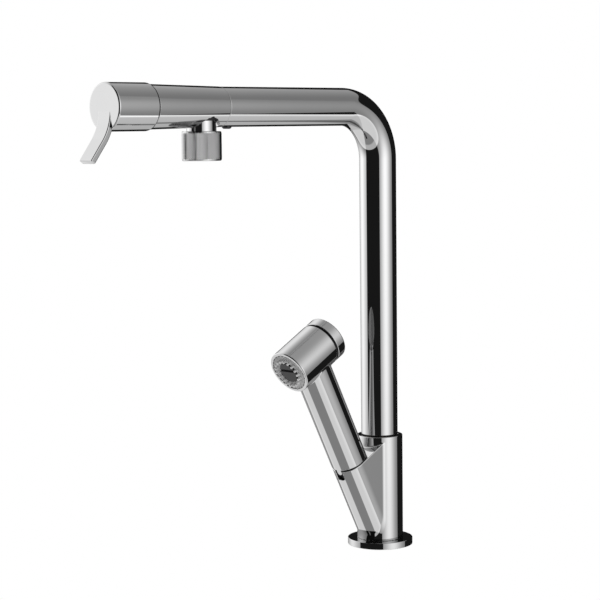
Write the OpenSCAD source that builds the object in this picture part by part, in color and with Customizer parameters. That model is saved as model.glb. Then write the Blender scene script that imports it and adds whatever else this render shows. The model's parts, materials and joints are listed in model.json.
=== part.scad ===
// Deck-mounted kitchen faucet with a swivelling spout, an end-of-spout lever,
// a turning nozzle and a hand spray that pulls out of an inclined holster.
// Millimetres, +Z up. The origin is the centre of the base flange's underside,
// the spout and the holster both point towards -Y.

/* [Base] */
// Diameter of the base flange
flange_d = 50; // [46:1:60]
// Height of the base flange
flange_h = 5; // [4:0.5:8]
// Diameter of the column collar
collar_d = 35.34; // [34.5:0.1:38]
// Height of the collar's top above the deck
collar_top = 85.5; // [84.5:0.1:85.8]
// Outer diameter of the threaded shank
shank_d = 33; // [32:0.5:33]
// Length of the shank below the deck
shank_l = 62; // [55:1:70]
// Thickness of the deck that the nut is drawn up to
deck_t = 30; // [5:1:40]

/* [Holster] */
// Lean of the holster from upright, in degrees
lean = 27.6; // [26:0.1:29]
// Height where the holster's axis meets the column's axis
holster_z0 = 3.9; // [3:0.1:5]
// Outer diameter of the holster and of the spray's handle
holster_d = 28; // [27.5:0.5:28]
// Distance along the holster's axis to its rim
rim_s = 73.3; // [72:0.1:75]
// Width of the locating notch in the rim
notch_w = 7; // [5:0.5:8]
// Depth of the locating notch
notch_h = 8.2; // [6:0.1:10]

/* [Spout] */
// Outer diameter of the spout tube
tube_d = 28; // [27.5:0.5:28]
// Wall of the spout tube
tube_wall = 1.5; // [1.2:0.1:1.5]
// Height of the tube's lower end
tube_z0 = 86.2; // [86:0.1:87]
// Height of the arm's axis
arm_z = 336.6; // [300:0.1:400]
// Radius of the bend's centre line
bend_r = 39.5; // [36:0.5:50]
// Distance from the column's axis to the joint with the outlet body
arm_end = 163; // [163:1:163]
// Swivel to each side, in degrees
swivel = 75; // [45:5:75]

/* [Outlet] */
// Distance to the outlet body's front edge
outlet_end = 228; // [227:0.5:228]
// Distance from the column's axis to the nozzle's axis
nozzle_u = 178.7; // [178:0.1:180]
// Diameter of the knurled nozzle collar
nozzle_d = 28; // [27:0.5:29]
// Height of the knurled nozzle collar
nozzle_h = 20.3; // [18:0.1:21]
// Gap between the arm's axis and the collar's top
nozzle_drop = 16.8; // [16.6:0.1:18]

/* [Lever] */
// Diameter of the lever's cap
cap_d = 32.56; // [32.4:0.02:33]
// Distance to the cap's flat end
cap_u1 = 263.7; // [263:0.1:265]
// Thickness of the cap's end
cap_t = 1.4; // [1.2:0.1:1.5]
// Width of the blade
blade_w = 13; // [10:0.5:15]
// Thickness of the blade
blade_t = 4; // [3:0.1:4.5]
// Angle of the blade's straight part from upright
blade_angle = 37.4; // [25:0.1:40]
// Length of the blade's straight part
blade_l = 16.1; // [12:0.1:30]

/* [Hand spray] */
// Diameter of the barrel head
head_d = 34; // [33:0.5:36]
// Distance along the holster's axis to the head's axis
head_s = 168.9; // [160:0.1:180]
// Angle of the head's axis below square to the handle, in degrees
head_tip = 1.2; // [0:0.1:3]
// Distance from the handle's axis to the spray face
face_z = 21.6; // [20:0.1:24]
// Distance from the handle's axis to the back of the button
back_z = 25; // [24:0.1:26]
// Width of the groove in front of the button
groove_w = 1.8; // [1.7:0.1:2]
// Number of nubs on the spray face
nubs_in = 18; // [12:1:20]
// Number of small slots along the edge of the spray face
marks = 24; // [16:1:26]

/* [Hidden] */
$fn = 96;

chrome_c = [0.86, 0.87, 0.88];
brass_c = [0.78, 0.65, 0.38];
copper_c = [0.75, 0.45, 0.30];
steel_c = [0.66, 0.67, 0.69];
black_c = [0.09, 0.09, 0.10];
rubber_c = [0.13, 0.13, 0.14];
plastic_c = [0.85, 0.85, 0.83];
ceramic_c = [0.93, 0.92, 0.88];
silicone_c = [0.62, 0.62, 0.63];
dark_c = [0.20, 0.20, 0.21];

tube_r = tube_d / 2;
tube_ri = tube_r - tube_wall;
spigot_r = tube_ri - 0.05;
spigot_z0 = 61.6;
feed_r = 3;
feed_ring = 7.3;
// the three feed tubes stand on one circle, clear of the hose's way at the front
feeds = [[-7, -1.9], [7, -1.9], [0, feed_ring]];
feed_u1 = 170;
feed_z0 = -66;
nipple_l = 12;
handle_s0 = rim_s + 1;
head_a = 90 + lean + head_tip;
cap_z1 = -(back_z - 8.2);
barrel_z0 = cap_z1 + groove_w;
blade_rf = 34;
blade_z0 = -1.5;
stop_z = 74;

// ---------- placing ----------
module along_holster(s = 0)
    translate([0, -s * sin(lean), holster_z0 + s * cos(lean)]) rotate([lean, 0, 0]) children();
module at_head()
    translate([0, -head_s * sin(lean), holster_z0 + head_s * cos(lean)]) rotate([head_a, 0, 0]) children();
// local +Z runs forward along the arm, local +Y is up
module at_arm(u = 0)
    translate([0, -u, arm_z]) rotate([90, 0, 0]) children();
// vertical axis of the nozzle, measured down from the arm's axis
module at_nozzle()
    translate([0, -nozzle_u, arm_z]) children();

// ---------- shared shapes ----------
module ring(ro, ri, z0, z1)
    translate([0, 0, z0]) difference() {
        cylinder(r = ro, h = z1 - z0);
        translate([0, 0, -1]) cylinder(r = ri, h = z1 - z0 + 2);
    }
module o_ring(R, r, z)
    translate([0, 0, z]) rotate_extrude() translate([R, 0]) circle(r = r, $fn = 32);
// pipe that rises beside the column's axis, bends over and runs out along the arm
module pipe(x, y, ro, ri, z0, u1) {
    translate([x, y, z0]) linear_extrude(arm_z - bend_r - z0) annulus(ro, ri);
    translate([x, -bend_r, arm_z - bend_r]) rotate([90, 0, 90])
        rotate_extrude(angle = 90) translate([bend_r + y, 0]) annulus(ro, ri);
    translate([x, -bend_r, arm_z + y]) rotate([90, 0, 0]) linear_extrude(u1 - bend_r) annulus(ro, ri);
}
module annulus(ro, ri) difference() {
    circle(r = ro);
    circle(r = ri);
}

// ---------- base ----------
module base_flange() color(chrome_c) difference() {
    union() {
        cylinder(d = flange_d, h = flange_h - 0.4);
        translate([0, 0, flange_h - 0.4]) cylinder(d1 = flange_d, d2 = flange_d - 0.8, h = 0.4);
    }
    translate([0, 0, -1]) cylinder(r = shank_d / 2 + 0.2, h = flange_h + 2);
    ring(22.6, 18.4, -1, 1.6);
}
module deck_gasket() color(rubber_c) ring(22.5, 18.5, 0, 1.5);

module web_profile() {
    a = [-rim_s * sin(lean), holster_z0 + rim_s * cos(lean)];
    polygon([a, [-8, a[1] + (-8 - a[0]) * tan(lean)], [-8, holster_z0 + 8 / tan(lean)]]);
}
module column_body() color(chrome_c) difference() {
    intersection() {
        union() {
            translate([0, 0, flange_h]) cylinder(d = collar_d, h = collar_top - flange_h - 0.4);
            translate([0, 0, collar_top - 0.4]) cylinder(d1 = collar_d, d2 = collar_d - 0.8, h = 0.4);
            along_holster() cylinder(d = holster_d, h = rim_s);
            rotate([90, 0, 90]) translate([0, 0, -holster_d / 2])
                linear_extrude(holster_d) web_profile();
        }
        translate([-40, -80, flange_h]) cube([80, 120, 120]);
    }
    // seat of the shank, way of the hoses, seat of the spigot and its rings
    translate([0, 0, 0]) cylinder(r = 14.8, h = 17);
    cylinder(r = 13.2, h = 60.5);
    translate([0, 0, 60]) cylinder(r = 14.2, h = 40);
    // bore of the holster, and its notch
    along_holster(22) cylinder(r = 12.5, h = 80);
    along_holster() notch();
    // tapped hole of the stop screw, at the back
    translate([0, 10, stop_z]) rotate([-90, 0, 0]) cylinder(r = 2.5, h = 12, $fn = 48);
}
module notch() {
    r = 2;
    translate([0, -8, rim_s - notch_h]) rotate([90, 0, 0]) linear_extrude(8) {
        translate([-notch_w / 2, r]) square([notch_w, notch_h + 2]);
        translate([-notch_w / 2 + r, 0]) square([notch_w - 2 * r, r + 0.5]);
        for (k = [-1, 1]) translate([k * (notch_w / 2 - r), r]) circle(r = r, $fn = 48);
    }
}
module mounting_shank() color(brass_c) difference() {
    union() {
        translate([0, 0, -shank_l]) cylinder(d = shank_d, h = shank_l + flange_h);
        cylinder(r = 14.75, h = 16.8);
        translate([0, 0, -shank_l]) cylinder(d = shank_d, h = 2);
    }
    translate([0, 0, -shank_l - 1]) cylinder(r = 13.2, h = shank_l + 30);
}
module rubber_washer() color(rubber_c) ring(25, 16.7, -deck_t - 3, -deck_t);
module clamp_washer() color(steel_c) ring(25, 16.7, -deck_t - 5, -deck_t - 3);
module mounting_nut() color(brass_c) difference() {
    union() {
        translate([0, 0, -deck_t - 15]) cylinder(d = 46, h = 9, $fn = 6);
        translate([0, 0, -deck_t - 6.5]) cylinder(d = 46, h = 1.5);
    }
    translate([0, 0, -deck_t - 20]) cylinder(d = shank_d + 0.04, h = 20);
}
module upper_bearing_ring() color(black_c) {
    ring(14.15, tube_ri, 77.5, 85.1);
    ring(13.9, tube_ri, 85.1, 85.9);
}
module lower_bearing_ring() color(black_c) difference() {
    translate([0, 0, 60]) cylinder(r = 14.15, h = 6.5);
    translate([0, 0, 50]) cylinder(r = 10.9, h = 20);
    translate([0, 0, spigot_z0 - 0.1]) cylinder(r = tube_ri, h = 20);
}
module swivel_stop_screw() color(steel_c) translate([0, 0, stop_z]) rotate([-90, 0, 0]) difference() {
    union() {
        translate([0, 0, 14.4]) cylinder(r = 2.48, h = 3, $fn = 48);
        translate([0, 0, 11.75]) cylinder(r = 1.9, h = 3, $fn = 48);
    }
    translate([0, 0, 15.4]) cylinder(d = 2.8, h = 4, $fn = 6);
}
module holster_bush() color(black_c) difference() {
    along_holster() difference() {
        translate([0, 0, 42]) cylinder(r = 12.45, h = rim_s - 42.2);
        translate([0, 0, 47]) cylinder(r = 11.2, h = 60);
        translate([0, 0, 40]) cylinder(r = 8.2, h = 20);
        translate([0, 0, 44]) cylinder(r1 = 8.2, r2 = 11.2, h = 3);
        notch();
    }
    // kept clear of the feed tubes, which turn with the spout
    cylinder(r = 11, h = 90);
}

// ---------- spout ----------
module spout_tube() color(chrome_c) difference() {
    pipe(0, 0, tube_r, tube_ri, tube_z0, arm_end);
    // hole of the fixing screw
    translate([0, -155, arm_z - 20]) cylinder(r = 2.1, h = 12, $fn = 48);
}
module spout_spigot() color(brass_c) difference() {
    translate([0, 0, spigot_z0]) cylinder(r = spigot_r, h = 48.4);
    translate([0, 0, 50]) cylinder(r = 10.4, h = 70);
    // slot that runs on the stop screw
    rotate([0, 0, 90 - swivel - 10.5]) rotate_extrude(angle = 2 * swivel + 21)
        translate([11.5, stop_z - 2.2]) square([4, 4.4]);
}
module outlet_body() color(chrome_c) difference() {
    union() {
        at_arm(140) cylinder(r = spigot_r, h = 30);
        at_arm(arm_end) cylinder(r1 = 14.1, r2 = 15.25, h = outlet_end - arm_end);
        at_arm(outlet_end - 1) cylinder(r = 13.9, h = 11);
    }
    // rear bore, sockets of the feed tubes and the ways on to the cartridge
    at_arm(139) cylinder(r = 10.9, h = 21);
    for (k = [0:1]) {
        at_arm(150) translate([feeds[k][0], feeds[k][1], 0]) cylinder(r = feed_r + 0.02, h = feed_u1 - 150);
        at_arm(165) translate([feeds[k][0], feeds[k][1], 0]) cylinder(r = 2, h = 50);
    }
    at_arm(150) translate([0, feed_ring, 0]) cylinder(r = feed_r + 0.02, h = feed_u1 - 150);
    at_arm(165) translate([0, feed_ring, 0]) cylinder(r = 2, h = 9.5);
    at_arm(nozzle_u + 3.6) translate([0, feed_ring, 0]) cylinder(r = 2, h = 30);
    for (u = [nozzle_u - 5, nozzle_u + 5]) translate([0, -u, arm_z - 6]) cylinder(r = 1.8, h = 13.3, $fn = 48);
    // seat of the cartridge
    at_arm(206) cylinder(r = 12.6, h = 40);
    // seat of the nozzle
    at_nozzle() translate([0, 0, -30]) cylinder(r = 12.1, h = 25.2);
    // tapped hole of the fixing screw
    translate([0, -155, arm_z - 20]) cylinder(r = 2, h = 15, $fn = 48);
    // grooves of the two rings
    for (u = [144, 149]) at_arm(u - 1) difference() {
        cylinder(r = 14, h = 2);
        translate([0, 0, -1]) cylinder(r = 11.5, h = 4);
    }
}
module outlet_o_rings() color(rubber_c) for (u = [144, 149]) at_arm(u) o_ring(11.98, 0.45, 0);
module fixing_screw() color(dark_c) translate([0, -155, arm_z]) difference() {
    union() {
        difference() {
            union() {
                translate([0, 0, -15.35]) cylinder(r1 = 2.4, r2 = 3.4, h = 1, $fn = 48);
                translate([0, 0, -14.35]) cylinder(r = 3.4, h = 0.75, $fn = 48);
            }
            // the head's face is hollowed to sit on the tube
            rotate([90, 0, 0]) translate([0, 0, -6]) cylinder(r = tube_r, h = 12);
        }
        translate([0, 0, -14.6]) cylinder(r = 1.98, h = 4.4, $fn = 48);
    }
    translate([0, 0, -16]) cylinder(d = 2.6, h = 2, $fn = 6);
}
module feed(k, c) color(c) pipe(feeds[k][0], feeds[k][1], feed_r, feed_r - 0.8, feed_z0, feed_u1);
module cold_feed_tube() feed(1, copper_c);
module hot_feed_tube() feed(0, copper_c);
module spray_feed_tube() feed(2, copper_c);
// threaded end on a feed tube
module nipple(k) color(brass_c) translate([feeds[k][0], feeds[k][1], feed_z0]) difference() {
    union() {
        translate([0, 0, -nipple_l]) cylinder(r = 4, h = nipple_l, $fn = 64);
        translate([0, 0, 0]) cylinder(d = 11, h = 3, $fn = 6);
    }
    translate([0, 0, -nipple_l - 1]) cylinder(r = feed_r - 0.8, h = 30, $fn = 48);
    cylinder(r = feed_r + 0.02, h = 30, $fn = 64);
}
module cold_nipple() nipple(1);
module hot_nipple() nipple(0);
module spray_nipple() nipple(2);
module cartridge_housing() color(plastic_c) at_arm() difference() {
    union() {
        translate([0, 0, 206.6]) cylinder(r = 12.5, h = 33.4);
        translate([0, 0, 240]) cylinder(r = 6.5, h = 3);
    }
    translate([0, 0, 209]) cylinder(r = 10.3, h = 27);
    translate([0, 0, 230]) cylinder(r = 4.05, h = 20);
    for (p = feeds) translate([p[0], p[1], 200]) cylinder(r = 1.9, h = 12, $fn = 48);
    for (p = feeds) translate([p[0], p[1], 206]) cylinder(r = 3.05, h = 1.3, $fn = 48);
}
module cartridge_seals() color(rubber_c) at_arm()
    for (p = feeds) translate([p[0], p[1], 0]) ring(3, 2, 206.05, 207.2);
module fixed_ceramic_disc() color(ceramic_c) at_arm() difference() {
    translate([0, 0, 209.05]) cylinder(r = 10.2, h = 2.95);
    for (p = feeds) translate([p[0], p[1], 205]) cylinder(r = 1.9, h = 12, $fn = 48);
}
module cartridge_nut() color(brass_c) at_arm() difference() {
    translate([0, 0, 229.5]) cylinder(r = 14.95, h = 13);
    translate([0, 0, 220]) cylinder(r = 13.93, h = 20.05);
    translate([0, 0, 230]) cylinder(r = 9, h = 20);
}
module nozzle_bearing() color(black_c) at_nozzle() ring(12.05, 10.45, -9.6, -6.6);

// ---------- lever ----------
function blade_arc(r, a0, a1, n) = [for (i = [0:n]) let (a = a0 + (a1 - a0) * i / n)
    [cap_u1 + blade_rf - r * cos(a), blade_z0 - r * sin(a)]];
module blade_profile() {
    f = blade_arc(blade_rf, 0, blade_angle, 14);
    b = blade_arc(blade_rf + blade_t, blade_angle, 0, 14);
    d = [sin(blade_angle), -cos(blade_angle)] * blade_l;
    polygon(concat(f, [f[14] + d, b[0] + d], b));
}
// cap over the cartridge nut, 0.3 mm off the outlet body, with the blade on its end
module lever() color(chrome_c) {
    at_arm() difference() {
        union() {
            translate([0, 0, outlet_end + 0.3]) cylinder(d1 = cap_d - 1, d2 = cap_d, h = 1.4);
            translate([0, 0, outlet_end + 1.7]) cylinder(d = cap_d, h = cap_u1 - outlet_end - 2.9);
            translate([0, 0, cap_u1 - 1.2]) cylinder(d1 = cap_d, d2 = cap_d - 0.7, h = 0.85);
            translate([0, 0, cap_u1 - 0.35]) cylinder(d1 = cap_d - 0.7, d2 = cap_d - 2.4, h = 0.35);
        }
        difference() {
            translate([0, 0, outlet_end - 1]) cylinder(r = 15.3, h = cap_u1 - cap_t - outlet_end + 1);
            translate([0, 0, 245.4]) cylinder(r = 7, h = 30);
        }
        translate([0, 0, 240]) cylinder(r = 4.02, h = 19.9);
        // grub screw and the way of its key, on the side that faces away and down
        translate([0, 0, 252]) rotate([90, 0, -45]) cylinder(r = 2, h = 7.5, $fn = 48);
        translate([0, 0, 252]) rotate([90, 0, -45]) cylinder(r = 1.6, h = 20, $fn = 48);
    }
    intersection() {
        // local X forward and Y up become the arm's directions
        translate([blade_w / 2, 0, arm_z]) rotate([90, 0, -90]) linear_extrude(blade_w) blade_profile();
        translate([-20, -300, arm_z - 60]) cube([40, 300 - cap_u1 + 1.2, 80]);
    }
}
module cartridge_spindle() color(steel_c) at_arm() {
    translate([0, 0, 215.1]) cylinder(r = 9.5, h = 4);
    translate([0, 0, 219.1]) cylinder(r = 4, h = 40.5);
}
module moving_ceramic_disc() color(ceramic_c) at_arm() difference() {
    translate([0, 0, 212.1]) cylinder(r = 10, h = 3);
    translate([2.6, 2.6, 211]) cylinder(r = 3.6, h = 2.6, $fn = 48);
}
module lever_screw() color(steel_c) at_arm(252) rotate([90, 0, -45]) difference() {
    translate([0, 0, 4]) cylinder(r = 1.98, h = 2.9, $fn = 48);
    translate([0, 0, 5.5]) cylinder(d = 2.2, h = 3, $fn = 6);
}

// ---------- nozzle ----------
nozzle_z1 = -nozzle_drop;
nozzle_z0 = -nozzle_drop - nozzle_h;
module nozzle_spindle() color(chrome_c) at_nozzle() difference() {
    union() {
        translate([0, 0, nozzle_z1 - 6]) cylinder(r = 10.4, h = nozzle_drop + 6 - 5.3);
        translate([0, 0, -6.3]) cylinder(r = 11.6, h = 1);
    }
    translate([0, 0, nozzle_z1 - 10]) cylinder(r = 8, h = nozzle_drop + 2);
    translate([0, -5, -12]) cylinder(r = 2.2, h = 12, $fn = 48);
    translate([0, -5, -5.9]) cylinder(r = 3.1, h = 2, $fn = 48);
}
module diverter_seal() color(rubber_c) at_nozzle() translate([0, -5, 0]) ring(3, 2.2, -5.9, -5.1);
module nozzle_collar() color(chrome_c) at_nozzle() difference() {
    union() {
        translate([0, 0, nozzle_z0]) cylinder(d1 = nozzle_d - 0.6, d2 = nozzle_d, h = 0.4);
        translate([0, 0, nozzle_z0 + 0.4]) cylinder(d = nozzle_d, h = nozzle_h - 0.8);
        translate([0, 0, nozzle_z1 - 0.4]) cylinder(d1 = nozzle_d, d2 = nozzle_d - 0.6, h = 0.4);
    }
    translate([0, 0, nozzle_z0 - 1]) cylinder(r = 11.6, h = 15);
    translate([0, 0, nozzle_z0]) cylinder(r = 10.42, h = 40);
}
module aerator_insert() color(plastic_c) at_nozzle() difference() {
    translate([0, 0, nozzle_z0 + 1.8]) cylinder(r = 11.5, h = 10);
    translate([0, 0, nozzle_z0 + 1]) cylinder(r = 10.4, h = 8);
    for (n = [0:11]) rotate([0, 0, n * 30]) translate([7, 0, nozzle_z0 + 5]) cylinder(r = 0.9, h = 10, $fn = 24);
    for (n = [0:5]) rotate([0, 0, n * 60]) translate([3.6, 0, nozzle_z0 + 5]) cylinder(r = 0.9, h = 10, $fn = 24);
}
module aerator_screen() color(steel_c) at_nozzle() difference() {
    translate([0, 0, nozzle_z0 + 2.4]) cylinder(r = 10.3, h = 1);
    for (i = [-4:4], j = [-4:4]) let (x = (i + (j % 2 == 0 ? 0 : 0.5)) * 2.6, y = j * 2.25)
        if (x * x + y * y < 9 * 9)
            translate([x, y, nozzle_z0 + 2]) rotate([0, 0, 30]) cylinder(r = 1.25, h = 2, $fn = 6);
}
module aerator_gasket() color(rubber_c) at_nozzle() ring(11.4, 8.2, nozzle_z0 + 11.9, nozzle_z0 + 13.9);

// ---------- hand spray ----------
module handset_body() color(chrome_c) difference() {
    union() {
        along_holster(handle_s0) cylinder(d = holster_d, h = head_s - handle_s0);
        at_head() translate([0, 0, barrel_z0]) cylinder(d = head_d, h = face_z - barrel_z0 - 0.4);
        at_head() translate([0, 0, face_z - 0.4]) cylinder(d1 = head_d, d2 = head_d - 0.8, h = 0.4);
    }
    along_holster(handle_s0 - 1) cylinder(r = 12.3, h = head_s - handle_s0);
    at_head() translate([0, 0, barrel_z0 - 1]) cylinder(r = 15.2, h = 60);
}
module handset_tail() color(plastic_c) along_holster() difference() {
    union() {
        translate([0, 0, 47.3]) cylinder(r1 = 9.2, r2 = 11.12, h = 3);
        translate([0, 0, 50.3]) cylinder(r = 11.12, h = handle_s0 - 50.3);
        translate([0, 0, handle_s0]) cylinder(r = 12.25, h = 14);
    }
    translate([0, 0, 45]) cylinder(r = 5.2, h = 60);
    translate([0, 0, 56]) cylinder(r = 7, h = 60);
    // seat of the locating lug
    translate([-2.22, -14, handle_s0 - 5]) cube([4.44, 4, 5]);
}
module seat_ring() color(rubber_c) along_holster() difference() {
    ring(13.4, 11.14, handle_s0 - 0.7, handle_s0);
    translate([-2.3, -14, handle_s0 - 2]) cube([4.6, 4, 4]);
}
module locating_lug() color(chrome_c) along_holster() intersection() {
    translate([0, -10.02, 0]) rotate([90, 0, 0]) linear_extrude(3.6) {
        translate([-2.2, handle_s0 - 2.5]) square([4.4, 2.5]);
        translate([0, handle_s0 - 2.5]) circle(r = 2.2, $fn = 48);
    }
    cylinder(r = 13.1, h = 200);
}
module check_valve() color(plastic_c) along_holster() difference() {
    translate([0, 0, 62]) cylinder(r = 6.95, h = 12);
    translate([0, 0, 60]) cylinder(r = 3.2, h = 6);
    for (a = [0:90:270]) rotate([0, 0, a]) translate([3.6, 0, 60]) cylinder(r = 1.2, h = 20, $fn = 24);
}
module hose_nipple() color(brass_c) along_holster() difference() {
    union() {
        translate([0, 0, 36]) cylinder(r = 4.6, h = 22);
        translate([0, 0, 56.05]) cylinder(r = 6.95, h = 3);
    }
    translate([0, 0, 30]) cylinder(r = 3.2, h = 40);
}
module hose_nut() color(brass_c) along_holster() difference() {
    union() {
        translate([0, 0, 37.5]) cylinder(r1 = 6.6, r2 = 7.5, h = 2);
        translate([0, 0, 39.5]) cylinder(r = 7.5, h = 7.4);
    }
    translate([0, 0, 20]) cylinder(r = 5.75, h = 22);
    translate([0, 0, 20]) cylinder(r = 4.65, h = 40);
}
module waterway() color(plastic_c) along_holster() difference() {
    union() {
        translate([0, 0, handle_s0]) cylinder(r = 6.95, h = 6);
        translate([0, 0, handle_s0]) cylinder(r = 5.5, h = head_s - 9.1 - handle_s0);
    }
    translate([0, 0, 60]) cylinder(r = 4, h = 120);
}
module valve_block() color(plastic_c) at_head() difference() {
    union() {
        translate([0, 0, -9]) cylinder(r = 9, h = 18);
        translate([0, 0, -9]) cylinder(r = 15.1, h = 2);
        translate([0, 0, 7]) cylinder(r = 15.1, h = 2);
    }
    translate([0, 0, -20]) cylinder(r = 4.05, h = 24);
    translate([0, 0, 1]) cylinder(r = 5.4, h = 20);
    rotate([90, 0, 0]) cylinder(r = 3.6, h = 20, $fn = 64);
}
module diffuser() color(plastic_c) at_head() difference() {
    translate([0, 0, 13]) cylinder(r = 15.1, h = 1.6);
    for (n = [0:11]) rotate([0, 0, n * 30]) translate([11, 0, 10]) cylinder(r = 1, h = 10, $fn = 24);
    for (n = [0:5]) rotate([0, 0, n * 60]) translate([5.5, 0, 10]) cylinder(r = 1, h = 10, $fn = 24);
}
module face_seal() color(rubber_c) at_head() ring(15.1, 13.4, 14.7, 16.1);
module spray_plate() color(silicone_c) at_head() {
    difference() {
        translate([0, 0, 16.2]) cylinder(r = 15.15, h = face_z - 0.4 - 16.2);
        translate([0, 0, 16]) cylinder(r = 12.8, h = 2.8);
        translate([0, 0, face_z - 1.2]) cylinder(r = 8.05, h = 5);
        for (n = [0:marks - 1]) rotate([0, 0, n * 360 / marks]) translate([14.1, -0.8, face_z - 1]) cube([0.7, 1.6, 2]);
    }
    for (n = [0:nubs_in - 1]) rotate([0, 0, n * 360 / nubs_in]) translate([10.6, 0, face_z - 0.5]) {
        cylinder(r1 = 1.1, r2 = 0.8, h = 2.9, $fn = 24);
        translate([0, 0, 2.9]) cylinder(r1 = 0.8, r2 = 0.55, h = 0.3, $fn = 24);
    }
}
module centre_disc() color(dark_c) at_head() translate([0, 0, face_z - 1.2]) difference() {
    union() {
        cylinder(r = 8, h = 1.5);
        translate([0, 0, 1.5]) cylinder(r1 = 8, r2 = 7.6, h = 0.3);
    }
    // the dark line across the disc
    translate([-9, 1, 1.4]) cube([18, 1.2, 1]);
}

// ---------- button ----------
module button_cap() color(chrome_c) at_head() difference() {
    union() {
        translate([0, 0, -back_z]) cylinder(d1 = head_d - 1.2, d2 = head_d, h = 0.6);
        translate([0, 0, -back_z + 0.6]) cylinder(d = head_d, h = cap_z1 + back_z - 0.6);
    }
    difference() {
        translate([0, 0, -back_z + 1.8]) cylinder(r = 15.2, h = 20);
        translate([0, 0, -back_z]) cylinder(r = 6, h = 5);
    }
    translate([0, 0, -back_z + 2.2]) cylinder(r = 4.02, h = 20);
}
module button_skirt() color(black_c) at_head() ring(15.1, 13.2, -22, -13.2);
module button_stem() color(steel_c) at_head() {
    translate([0, 0, -back_z + 2.3]) cylinder(r = 4, h = back_z - 2.3 + 2);
    translate([0, 0, 2]) cylinder(r = 2.5, h = 8.4);
    translate([0, 0, 10.4]) cylinder(r = 4.5, h = 0.8);
}
module valve_seal() color(rubber_c) at_head() ring(6.6, 2.55, 9.35, 10.35);
// coil spring swept along a helix: 8 sides to the wire, 16 rings to a turn
spring_turns = 6;
spring_rings = spring_turns * 16;
function spring_point(i, j) = let (a = i * 360 / 16, w = j * 45,
        r = 6.4 + 0.55 * cos(w), z = -19.2 + 9.6 * i / spring_rings + 0.55 * sin(w))
    [r * cos(a), r * sin(a), z];
module button_spring() color(steel_c) at_head() polyhedron(
    points = [for (i = [0:spring_rings], j = [0:7]) spring_point(i, j)],
    faces = concat(
        [[for (j = [0:7]) j]],
        [for (i = [0:spring_rings - 1], j = [0:7]) let (a = i * 8 + j, b = i * 8 + (j + 1) % 8)
            [b, a, a + 8, b + 8]],
        [[for (j = [7:-1:0]) spring_rings * 8 + j]]),
    convexity = 10);

base_flange();
column_body();
deck_gasket();
mounting_shank();
rubber_washer();
clamp_washer();
mounting_nut();
upper_bearing_ring();
lower_bearing_ring();
swivel_stop_screw();
holster_bush();
spout_tube();
spout_spigot();
outlet_body();
outlet_o_rings();
fixing_screw();
cold_feed_tube();
hot_feed_tube();
spray_feed_tube();
cold_nipple();
hot_nipple();
spray_nipple();
cartridge_housing();
cartridge_seals();
fixed_ceramic_disc();
cartridge_nut();
nozzle_bearing();
lever();
cartridge_spindle();
moving_ceramic_disc();
lever_screw();
nozzle_spindle();
diverter_seal();
nozzle_collar();
aerator_insert();
aerator_screen();
aerator_gasket();
handset_body();
handset_tail();
seat_ring();
locating_lug();
check_valve();
hose_nipple();
hose_nut();
waterway();
valve_block();
diffuser();
face_seal();
spray_plate();
centre_disc();
button_cap();
button_skirt();
button_stem();
valve_seal();
button_spring();
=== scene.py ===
import bpy, json, math
import numpy as np
from mathutils import Matrix, Vector


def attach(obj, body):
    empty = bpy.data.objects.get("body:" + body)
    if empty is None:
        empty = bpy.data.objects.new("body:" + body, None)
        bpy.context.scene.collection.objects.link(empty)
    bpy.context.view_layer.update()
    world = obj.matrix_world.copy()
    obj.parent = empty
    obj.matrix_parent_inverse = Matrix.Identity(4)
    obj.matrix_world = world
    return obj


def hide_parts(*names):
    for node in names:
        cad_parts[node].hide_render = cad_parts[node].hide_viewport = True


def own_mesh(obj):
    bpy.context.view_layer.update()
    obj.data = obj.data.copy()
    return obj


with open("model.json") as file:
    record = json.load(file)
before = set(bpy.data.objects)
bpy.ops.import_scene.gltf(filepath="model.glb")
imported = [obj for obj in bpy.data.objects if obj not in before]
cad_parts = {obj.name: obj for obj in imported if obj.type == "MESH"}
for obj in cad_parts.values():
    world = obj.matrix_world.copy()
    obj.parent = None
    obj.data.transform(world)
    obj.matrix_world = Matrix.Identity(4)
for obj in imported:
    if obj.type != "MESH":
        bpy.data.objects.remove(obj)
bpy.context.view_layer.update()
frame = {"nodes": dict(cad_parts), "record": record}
nodes = frame["nodes"]

# ------------------------------------------------------------------ sizes, in millimetres
ARM_Z = 336.6
BEND_R = 39.5
LEAN = math.radians(27.6)
TIP = math.radians(1.2)
HOL_Z0 = 3.9
RIM_S = 73.3
HEAD_S = 168.9
HANDLE_S0 = 74.3
NOZ_U = 178.7
FACE_Z = 21.6

# ------------------------------------------------------------------ camera
F_PX, CAM_AZ, CAM_D, CAM_Z, YAW, PITCH, ROLL = 1799.213, 42.786, 1.374551, 0.322093, 2.512, 5.496, -0.633
a, h = math.radians(CAM_AZ), math.radians(YAW)
eye = Vector((CAM_D * math.sin(a), -CAM_D * math.cos(a), CAM_Z))
f0 = Vector((-math.sin(a + h), math.cos(a + h), 0))
r0 = Vector((math.cos(a + h), math.sin(a + h), 0))
pt, ro = math.radians(PITCH), math.radians(ROLL)
fwd = f0 * math.cos(pt) - Vector((0, 0, 1)) * math.sin(pt)
up0 = r0.cross(fwd)
right = r0 * math.cos(ro) + up0 * math.sin(ro)
up = -r0 * math.sin(ro) + up0 * math.cos(ro)
cam_data = bpy.data.cameras.new("camera")
cam_data.sensor_width = 36.0
cam_data.lens = F_PX * 36.0 / 600.0
cam_data.clip_start, cam_data.clip_end = 0.05, 50
camera = bpy.data.objects.new("camera", cam_data)
bpy.context.scene.collection.objects.link(camera)
m = Matrix.Identity(4)
for i in range(3):
    m[i][0], m[i][1], m[i][2], m[i][3] = right[i], up[i], -fwd[i], eye[i]
camera.matrix_world = m
bpy.context.scene.camera = camera

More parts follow.
